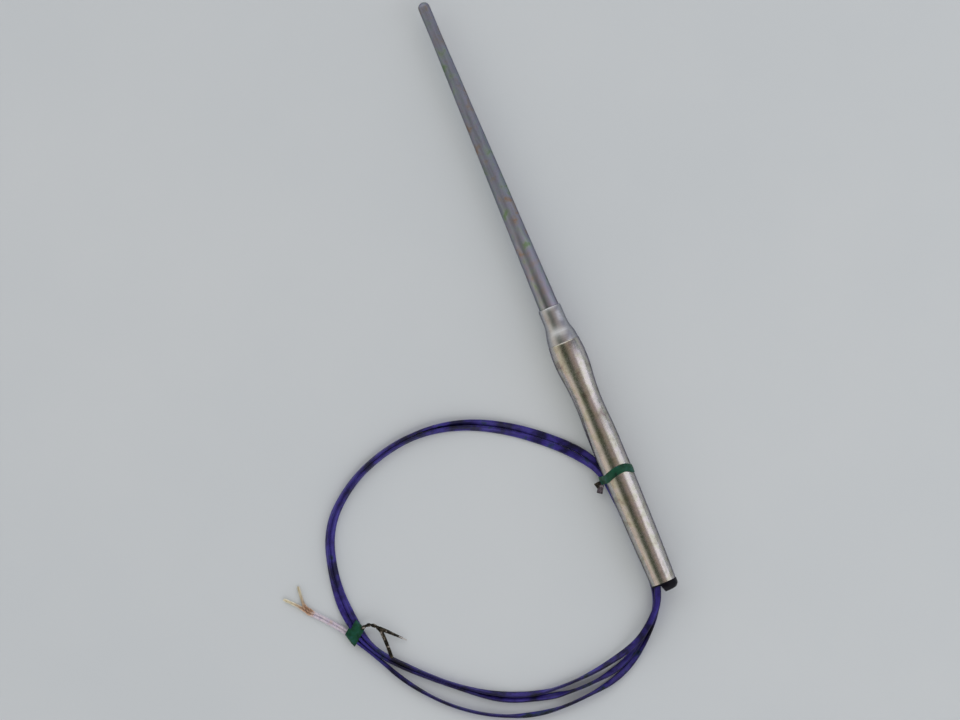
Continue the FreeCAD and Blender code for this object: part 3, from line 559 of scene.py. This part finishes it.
# Free end: where the jacket stops under the tie, the two pale cores run on side by side. Each is stripped to
# a bunch of seven loosely twisted strands; the two bunches fork, and their tips are tinned and bright.
CORE_RADIUS, CORE_ASIDE = 0.62 * MM, 0.635 * MM
STRAND_RADIUS, BUNCH_RADIUS, WIRE_HEIGHT = 0.20 * MM, 0.42 * MM, 0.63 * MM
STRANDS, LAY_TURNS, TIGHT_FROM = 7, 1.4, 5 / 7
LEAST_SLACK, SLACK_STEP, ROWS_SHORTER = 0.25, 0.3, 4
TIN, TIN_FROM, TIN_TO = (0.84, 0.78, 0.60, 1.0), 6.0 * MM, 12.0 * MM
PAIR_ROUTE = [(-0.1318, -0.1012, 0.0014), (-0.1335, -0.0982, 0.0011), (-0.1379, -0.0925, CORE_RADIUS),
              (-0.1435, -0.0862, CORE_RADIUS)]
WIRE_ROUTES = {
    "negative": (1, [(-0.1459, -0.0834, WIRE_HEIGHT), (-0.1480, -0.0806, WIRE_HEIGHT),
                     (-0.1522, -0.0763, WIRE_HEIGHT)]),
    "positive": (-1, [(-0.1450, -0.0831, WIRE_HEIGHT), (-0.1451, -0.0798, WIRE_HEIGHT),
                      (-0.1443, -0.0735, WIRE_HEIGHT)]),
}


def rod(line, radius, columns):
    """A round rod along a line: a circle of the radius carried along it."""
    turn = np.linspace(0, 2 * np.pi, columns, endpoint=False)
    return carried(line, np.zeros(len(line)), radius * np.cos(turn)[None], radius * np.sin(turn)[None])


pair_line = smooth_line(PAIR_ROUTE, 24)
pair_level = directions(pair_line)[1]
bare_wire = finish("tinned_copper_strands", [
    (0.0, (0.42, 0.25, 0.16)), (0.5, (0.56, 0.37, 0.26)), (1.0, (0.64, 0.46, 0.34))],
    rough=(0.28, 0.45), patch=700, grain=3000, bump=0.000006, metallic=1.0)
wire_tree = bare_wire.node_tree
tint(bare_wire, share_between(wire_tree, place_by(wire_tree, "UV")["X"], TIN_FROM, TIN_TO), TIN)
for polarity, (side, wire_route) in WIRE_ROUTES.items():
    core_line = pair_line + pair_level * side * CORE_ASIDE
    skin(f"free_core_{polarity}_sleeve",
                           [(rod(core_line, CORE_RADIUS, 20), False, core_insulation)],
                           [f"free_core_{polarity}"], sharp=60)
    wire_line = smooth_line([core_line[-4], core_line[-1], *wire_route], 40)
    _, level, upright = directions(wire_line)
    share = np.linspace(0, 1, len(wire_line))
    strands = []
    for strand in range(STRANDS):
        lay = strand * 2 * np.pi / (STRANDS - 1) + share * 2 * np.pi * LAY_TURNS
        slack = LEAST_SLACK + SLACK_STEP * ((strand * 5) % 3)
        loosened = 1 + np.sin(np.pi * np.minimum(share / TIGHT_FROM, 1)) * slack
        reach = 0 * share if strand == STRANDS - 1 else BUNCH_RADIUS * loosened
        aside = (reach * np.cos(lay))[:, None] * level + (reach * np.sin(lay))[:, None] * upright
        middle = wire_line + aside
        middle[:, 2] = np.maximum(middle[:, 2], STRAND_RADIUS)
        kept = len(middle) - ROWS_SHORTER * (strand % 3)
        strands.append((rod(middle[:kept], STRAND_RADIUS, 10), False, bare_wire))
    skin(f"bare_end_{polarity}_strands", strands, [f"bare_end_{polarity}"],
                           sharp=70)


# Handle tie: a strip of dark green plastic film moulded over a soft steel wire. It is pulled round the
# handle and the turns of the lead beside it, and its two ends are twisted together, splayed and scuffed,
# with painted glints among the scuffs.
TIE_HALF_WIDTH, FILM, WIRE_RIDGE, RIDGE_SHARE = 2.1 * MM, 0.11 * MM, 0.13 * MM, 0.15
TWIST_HALF_WIDTH, TWIST_REACH, FORK_BLEND = 0.80 * MM, 0.30 * MM, 0.12
tie_film = finish("green_tie_film", [
    (0.0, (0.002, 0.012, 0.010)), (0.35, (0.004, 0.048, 0.024)), (0.65, (0.006, 0.066, 0.036)),
    (1.0, (0.020, 0.075, 0.095))], rough=(0.38, 0.58), patch=300, grain=1500, bump=0.00003, ior=1.3)
# The pale spots on the tie ends are partly scuffs and partly painted glints.
scuffed_and_glinting_end = finish("scuffed_tie_end_painted_glints", [
    (0.0, (0.002, 0.002, 0.002)), (0.42, (0.007, 0.006, 0.004)), (0.65, (0.045, 0.036, 0.022)),
    (0.9, (0.32, 0.29, 0.27))], rough=(0.40, 0.65), patch=700, grain=1500, bump=0.00003, ior=1.25)
# The stub's second tab is paler all over: partly worn film and partly painted light on the lit tab.
paled_and_painted_lit_end = finish("paled_tie_end_painted_light", [
    (0.0, (0.010, 0.009, 0.012)), (0.35, (0.045, 0.038, 0.050)), (0.65, (0.115, 0.095, 0.115)),
    (0.9, (0.36, 0.33, 0.34))], rough=(0.40, 0.65), patch=700, grain=1500, bump=0.00003, ior=1.25)


def film_section(columns=48):
    """A tie's outline over a way round t: across, as a share of the half-width, is cos t to the power 0.8.
    Through is the film times sin t to the power 0.4, plus a bell-shaped ridge over the wire."""
    turn = np.linspace(0, 2 * np.pi, columns, endpoint=False)
    across = np.sign(np.cos(turn)) * np.abs(np.cos(turn)) ** 0.8
    through = FILM * np.abs(np.sin(turn)) ** 0.4 + WIRE_RIDGE * np.exp(-(across / RIDGE_SHARE) ** 2)
    return across, np.sign(np.round(np.sin(turn), 9)) * through


def ribbon(line, across, half_width):
    """The film's section carried along a line, laid across it as given there, at the half-width given."""
    film_across, film_through = film_section()
    ahead = directions(line)[0]
    flat = across - ahead * (across * ahead).sum(1, keepdims=True)
    flat /= np.linalg.norm(flat, axis=1, keepdims=True)
    proud = np.cross(ahead, flat)
    return (line[:, None] + flat[:, None] * (half_width[:, None] * film_across)[..., None]
            + proud[:, None] * film_through[None, :, None])


def pulled_round(rolls, growth, count):
    """Points evenly spaced along a band pulled round circles of (x, z, radius): for each outward direction
    the circle that reaches furthest carries the band, and straight runs join one circle to the next."""
    x, z, radius = np.array(rolls).T[..., None] * MM
    outward = np.linspace(0, 2 * np.pi, 1441)
    furthest = (x * np.cos(outward) + z * np.sin(outward) + radius).argmax(0)
    reach = radius[furthest, 0] + growth
    band = np.c_[x[furthest, 0] + reach * np.cos(outward), z[furthest, 0] + reach * np.sin(outward)]
    length = np.concatenate([[0], np.cumsum(np.linalg.norm(np.diff(band, axis=0), axis=1))])
    spaced = np.linspace(0, length[-1], count, endpoint=False)
    return np.c_[np.interp(spaced, length, band[:, 0]), np.interp(spaced, length, band[:, 1])]


def twisted_end(points, stem_share, turns, start, tail_roll, tail_half_width, tip_half_width,
                wear_and_glints=scuffed_and_glinting_end):
    """One end of a tie along control points: over the stem share it winds round its partner by so many turns
    from a start angle, then it runs straight as a tail, rolled by an angle, whose half-width goes from one
    value to the other."""
    line = smooth_line(points, 30)
    _, level, upright = directions(line)
    share = np.linspace(0, 1, len(line))
    in_stem = np.clip((stem_share - share) / FORK_BLEND + 0.5, 0, 1)
    lay = 2 * np.pi * turns * np.minimum(share / stem_share, 1) + start
    aside = TWIST_REACH * in_stem
    line = line + (aside * np.cos(lay))[:, None] * level + (aside * np.sin(lay))[:, None] * upright
    roll = lay + np.pi / 2 + (1 - in_stem) * tail_roll
    across = level * np.cos(roll)[:, None] + upright * np.sin(roll)[:, None]
    tail_share = np.clip((share - stem_share) / (1 - stem_share), 0, 1)
    tail_width = tail_half_width + (tip_half_width - tail_half_width) * tail_share
    half_width = TWIST_HALF_WIDTH * in_stem + tail_width * (1 - in_stem)
    return ribbon(line, across, half_width), False, wear_and_glints


HANDLE_TIE_Y, HANDLE_TIE_NARROWED = -81.5 * MM, 0.85
HANDLE_ROLLS = [(0, AXIS_HEIGHT / MM, 6.43), (-6.68, 3.08, 1.42), (-4.98, 1.95, 1.42)]
BELT_SLACK = 0.25 * MM
TIE_BOW, BOW_MIDDLE, BOW_LEFT, BOW_RIGHT = 1.9 * MM, 2.0 * MM, 7.7 * MM, 4.4 * MM
TOP_FROM, TOP_RISE = 5.0 * MM, 4.0 * MM
belt = pulled_round(HANDLE_ROLLS, BELT_SLACK, 180)
off_middle = belt[:, 0] - BOW_MIDDLE
bow = np.clip(1 - (off_middle / np.where(off_middle < 0, BOW_LEFT, BOW_RIGHT)) ** 2, 0, 1)
over_top = np.clip((belt[:, 1] - TOP_FROM) / TOP_RISE, 0, 1)
belt_line = np.c_[belt[:, 0], HANDLE_TIE_Y + TIE_BOW * bow * over_top, belt[:, 1]]
belt_rows = ribbon(belt_line, np.tile((0.0, -1.0, 0.0), (len(belt), 1)),
                   np.full(len(belt), TIE_HALF_WIDTH * HANDLE_TIE_NARROWED))
STUB_ROOT = [(-6.4, -81.4, 3.6), (-7.4, -82.2, 3.5), (-8.2, -82.6, 3.4)]
STUB_ENDS = [STUB_ROOT + [(-9.4, -82.6, 3.3), (-10.9, -82.9, 3.0)],
             STUB_ROOT + [(-8.9, -84.0, 3.1), (-9.7, -85.0, 2.9), (-10.5, -86.3, 2.5)]]
STUB = {"stem_share": 0.4, "turns": 0.5, "tail_half_width": 1.15 * MM, "tip_half_width": 1.3 * MM}
handle_tie = skin("handle_tie_film", [
    (belt_rows, True, tie_film),
    twisted_end(np.array(STUB_ENDS[0]) * MM, start=0, tail_roll=1.3, **STUB),
    twisted_end(np.array(STUB_ENDS[1]) * MM, start=math.pi, tail_roll=-1.3, wear_and_glints=paled_and_painted_lit_end, **STUB),
], ["handle_tie"], sharp=60)


# Coil tie: another such strip, wound just over twice round the turns of the lead and its free end. Its ends
# are twisted together by a turn and a half and forked, and the bare wire stands out of the thinner one.
COIL_TIE_TURN = math.radians(15.9)
COIL_RIGHT = np.array((math.cos(COIL_TIE_TURN), math.sin(COIL_TIE_TURN), 0))
COIL_ALONG = np.array((-math.sin(COIL_TIE_TURN), math.cos(COIL_TIE_TURN), 0))
COIL_TIE = np.array((-125.3, -101.8, 0)) * MM
COIL_ROLLS, INNER_SLACK, OUTER_SLACK = [(-1.17, 1.7, 1.15), (-6.2, 1.7, 1.15)], 0.15 * MM, 0.27 * MM
ROWS_ROUND, FIRST_ROW, LAST_ROW = 120, 30, 300
WRAP_STARTS, WRAP_STOPS, WRAP_SLANT, WRAP_MIDDLE = 3.3, 0.9, 0.36, -3.7
BARE_TIP_RADIUS = 0.24 * MM


def by_coil_tie(points):
    """Points given in millimetres to the right of, along and above the coil tie's middle, as places in the
    frame."""
    right, along, up = np.asarray(points, float).T[..., None] * MM
    return COIL_TIE + right * COIL_RIGHT + along * COIL_ALONG + up * (0, 0, 1)


inner_wrap = pulled_round(COIL_ROLLS, INNER_SLACK, ROWS_ROUND) / MM
outer_wrap = pulled_round(COIL_ROLLS, OUTER_SLACK, ROWS_ROUND) / MM
wrap_row = np.arange(FIRST_ROW, LAST_ROW) % ROWS_ROUND
wrapped = np.linspace(0, 1, len(wrap_row))[:, None]
wraps = inner_wrap[wrap_row] * (1 - wrapped) + outer_wrap[wrap_row] * wrapped
wrap_along = np.linspace(WRAP_STARTS, WRAP_STOPS, len(wraps)) + WRAP_SLANT * (wraps[:, 0] - WRAP_MIDDLE)
wrap_line = by_coil_tie(np.c_[wraps[:, 0], wrap_along, wraps[:, 1]])
wrap_rows = ribbon(wrap_line, np.tile(-COIL_ALONG, (len(wraps), 1)), np.full(len(wraps), TIE_HALF_WIDTH))
FORK = [(-0.5, 1.4, 3.0), (0.9, 1.6, 3.2), (2.2, 1.4, 3.5), (3.8, 0.5, 3.8), (5.0, -1.3, 3.8),
        (5.6, -3.3, 3.6)]
THIN_TAIL = [(7.2, -5.6, 3.3), (8.4, -8.1, 2.7), (9.6, -10.5, 1.9), (10.6, -12.5, 1.3)]
BARE_TIP = [(9.8, -10.9, 1.75), (10.6, -12.5, 1.3), (11.4, -14.2, 0.9)]
BROAD_TAIL = [(5.3, -5.4, 3.6), (4.6, -8.1, 3.7), (3.6, -11.4, 3.5), (1.9, -16.4, 3.2)]
coil_tie = skin("coil_tie_film", [
    (wrap_rows, False, tie_film),
    twisted_end(by_coil_tie(FORK + THIN_TAIL), stem_share=0.5, turns=1.5, start=0, tail_roll=1.25,
                tail_half_width=1.1 * MM, tip_half_width=0.4 * MM),
    twisted_end(by_coil_tie(FORK + BROAD_TAIL), stem_share=0.45, turns=1.5, start=math.pi, tail_roll=-1.25,
                tail_half_width=0.9 * MM, tip_half_width=0.8 * MM),
    (rod(smooth_line(by_coil_tie(BARE_TIP), 10), BARE_TIP_RADIUS, 10), False, thermo_alloy),
], ["coil_tie"], sharp=60)


# Floor: a broad board painted a pale matt grey, rolled on so that it has a fine tooth. The probe lies on it,
# and it is no part of the probe.
FLOOR_HALF = 4.0
floor_mesh = bpy.data.meshes.new("floor")
floor_mesh.from_pydata([(-FLOOR_HALF, -FLOOR_HALF, 0), (FLOOR_HALF, -FLOOR_HALF, 0),
                        (FLOOR_HALF, FLOOR_HALF, 0), (-FLOOR_HALF, FLOOR_HALF, 0)], [], [(0, 1, 2, 3)])
floor_mesh.materials.append(finish("pale_board", [
    (0.0, (0.58, 0.63, 0.67)), (1.0, (0.61, 0.655, 0.69))],
    rough=(0.75, 0.95), patch=6, grain=700, bump=0.00002))
floor = bpy.data.objects.new("floor", floor_mesh)
bpy.context.scene.collection.objects.link(floor)


# Light: a room that is dim overhead, warm on the right, pale along the left wall and bright at both ends,
# with one broad soft lamp on the right over the handle. The camera looks straight down, turned so that the
# probe lies aslant.
END_FROM, END_TO, END_GLOW = 0.40, 0.60, (1.5, 1.48, 1.46, 1.0)
world = bpy.data.worlds.new("studio")
bpy.context.scene.world = world
world.use_nodes = True
room = world.node_tree
add_node(room, "ShaderNodeTexCoord", {})
aim = place_by(room, "Generated")
rightward = share_between(room, aim["X"], -1.0, 1.0)
endward = share_between(room, calculated(room, "ABSOLUTE", aim["Y"]), END_FROM, END_TO)
wall_to_wall = ramp(room, rightward, [
    (0.0, (0.74, 0.62, 0.55)), (0.06, (0.86, 0.79, 0.70)), (0.23, (0.065, 0.085, 0.05)),
    (0.40, (0.06, 0.07, 0.05)), (0.64, (0.43, 0.34, 0.30)), (1.0, (0.22, 0.23, 0.34))])
room.links.new(blended(room, endward, wall_to_wall, END_GLOW), room.nodes["Background"].inputs["Color"])

LAMP_WIDTH, LAMP_LENGTH, LAMP_RADIANCE = 1.44, 1.0, 1.0
LAMP_DISTANCE, LAMP_LEAN, LAMP_Y = 1.6, math.radians(60), -0.46
lamp = bpy.data.lights.new("soft_lamp", "AREA")
lamp.shape = "RECTANGLE"
lamp.size = LAMP_WIDTH
lamp.size_y = LAMP_LENGTH
lamp.energy = LAMP_RADIANCE * math.pi * LAMP_WIDTH * LAMP_LENGTH
lamp_stand = bpy.data.objects.new("soft_lamp", lamp)
lamp_stand.location = (LAMP_DISTANCE * math.sin(LAMP_LEAN), LAMP_Y, LAMP_DISTANCE * math.cos(LAMP_LEAN))
lamp_stand.rotation_euler = (0, LAMP_LEAN, 0)
bpy.context.scene.collection.objects.link(lamp_stand)

LENS_MM, SENSOR_MM = 120, 36
CAMERA_PLACE, CAMERA_TURN = (-0.0356, -0.0143, 1.3643), math.radians(-22.654)
camera = bpy.data.objects.new("camera", bpy.data.cameras.new("camera"))
camera.data.lens = LENS_MM
camera.data.sensor_width = SENSOR_MM
camera.location = CAMERA_PLACE
camera.rotation_euler = (0, 0, CAMERA_TURN)
bpy.context.scene.collection.objects.link(camera)
bpy.context.scene.camera = camera
bpy.context.scene.view_settings.view_transform = "Standard"
